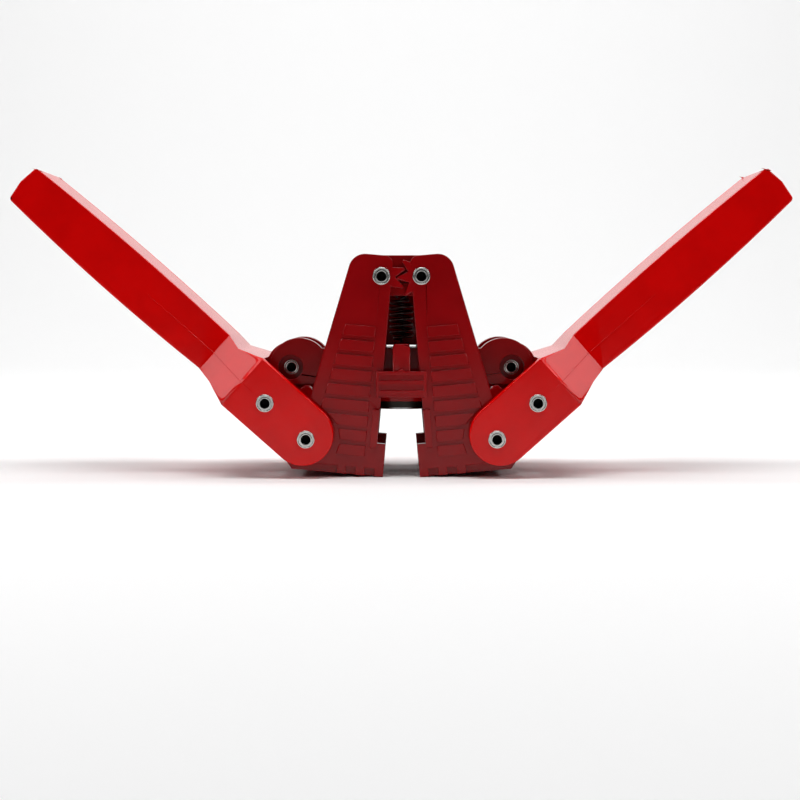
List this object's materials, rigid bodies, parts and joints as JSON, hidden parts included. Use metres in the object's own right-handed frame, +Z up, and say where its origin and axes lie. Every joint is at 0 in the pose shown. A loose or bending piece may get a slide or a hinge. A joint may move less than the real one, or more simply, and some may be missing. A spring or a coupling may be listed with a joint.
{
  "type": "twin-lever crown capper",
  "caption": "Hand crown capper: two plastic levers on geared gripping jaws pull a steel crimping bell down over a bottle's crown cap.",
  "frame": {"origin": "centre of the crimping bell's mouth", "axes": "+X along the levers to the right, +Y from front to back, +Z up from the bell's mouth to the top pivots"},
  "size_m": [0.2844, 0.0672, 0.1115],
  "materials": {
    "lever_nylon": "moulded satin red",
    "jaw_nylon": "moulded satin red",
    "plated_steel": "bright plated",
    "spring_steel": "drawn wire",
    "bell_steel": "black oxide, polished at the mouth",
    "magnet_nickel": "nickel plated",
    "zinc_steel": "zinc plated"
  },
  "bodies": {
    "frame": {"bridge": "jaw_nylon", "jaw_rivet_left": "plated_steel", "jaw_rivet_right": "plated_steel", "spring_pin_upper": "plated_steel", "return_spring": "spring_steel"},
    "left_jaw": {"jaw_left": "jaw_nylon", "neck_plate_left": "zinc_steel"},
    "left_lever": {"lever_left": "lever_nylon", "lever_rivet_left": "plated_steel", "link_rivet_left": "plated_steel"},
    "right_jaw": {"jaw_right": "jaw_nylon", "neck_plate_right": "zinc_steel"},
    "right_lever": {"lever_right": "lever_nylon", "lever_rivet_right": "plated_steel", "link_rivet_right": "plated_steel"},
    "slide": {"carriage": "jaw_nylon", "crimping_bell": "bell_steel", "bell_magnet": "magnet_nickel", "magnet_screw": "plated_steel", "arm_rivet_left": "plated_steel", "arm_rivet_right": "plated_steel", "spring_pin_lower": "plated_steel"},
    "left_link": {"link_left": "jaw_nylon"},
    "right_link": {"link_right": "jaw_nylon"}
  },
  "joints": [
    {"name": "left_jaw_swing", "type": "hinge", "parent": "frame", "child": "left_jaw", "pos_m": [-0.0072, 0, 0.0485], "axis": [0, -1, 0], "range_deg": [0, 4.21]},
    {"name": "left_lever_swing", "type": "hinge", "parent": "left_jaw", "child": "left_lever", "pos_m": [-0.03419, 0, -0.00987], "axis": [0, -1, 0], "range_deg": [0, 36], "stiffness_Nm_per_rad": 0.28, "springref_deg": -34.38},
    {"name": "right_jaw_swing", "type": "hinge", "parent": "frame", "child": "right_jaw", "pos_m": [0.0072, 0, 0.0485], "axis": [0, 1, 0], "range_deg": [0, 4.21]},
    {"name": "right_lever_swing", "type": "hinge", "parent": "right_jaw", "child": "right_lever", "pos_m": [0.03419, 0, -0.00987], "axis": [0, 1, 0], "range_deg": [0, 36]},
    {"name": "carriage_slide", "type": "slide", "parent": "frame", "child": "slide", "axis": [0, 0, -1], "range_m": [0, 0.01501], "deforming": ["return_spring"]},
    {"name": "left_link_swing", "type": "hinge", "parent": "slide", "child": "left_link", "pos_m": [-0.0406, 0, 0.0153], "axis": [0, -1, 0], "range_deg": [-6.6, 0]},
    {"name": "right_link_swing", "type": "hinge", "parent": "slide", "child": "right_link", "pos_m": [0.0406, 0, 0.0153], "axis": [0, 1, 0], "range_deg": [-6.6, 0]}
  ],
  "couplings": [
    {"joint": "right_lever_swing", "follows": "left_lever_swing", "ratio": 1},
    {"joint": "left_jaw_swing", "follows": "left_lever_swing", "ratio": 0.11667},
    {"joint": "right_jaw_swing", "follows": "left_lever_swing", "ratio": 0.11667},
    {"joint": "carriage_slide", "follows": "left_lever_swing", "m_per_rad": 0.023873},
    {"joint": "left_link_swing", "follows": "left_lever_swing", "ratio": -0.1817},
    {"joint": "right_link_swing", "follows": "left_lever_swing", "ratio": -0.1817}
  ]
}
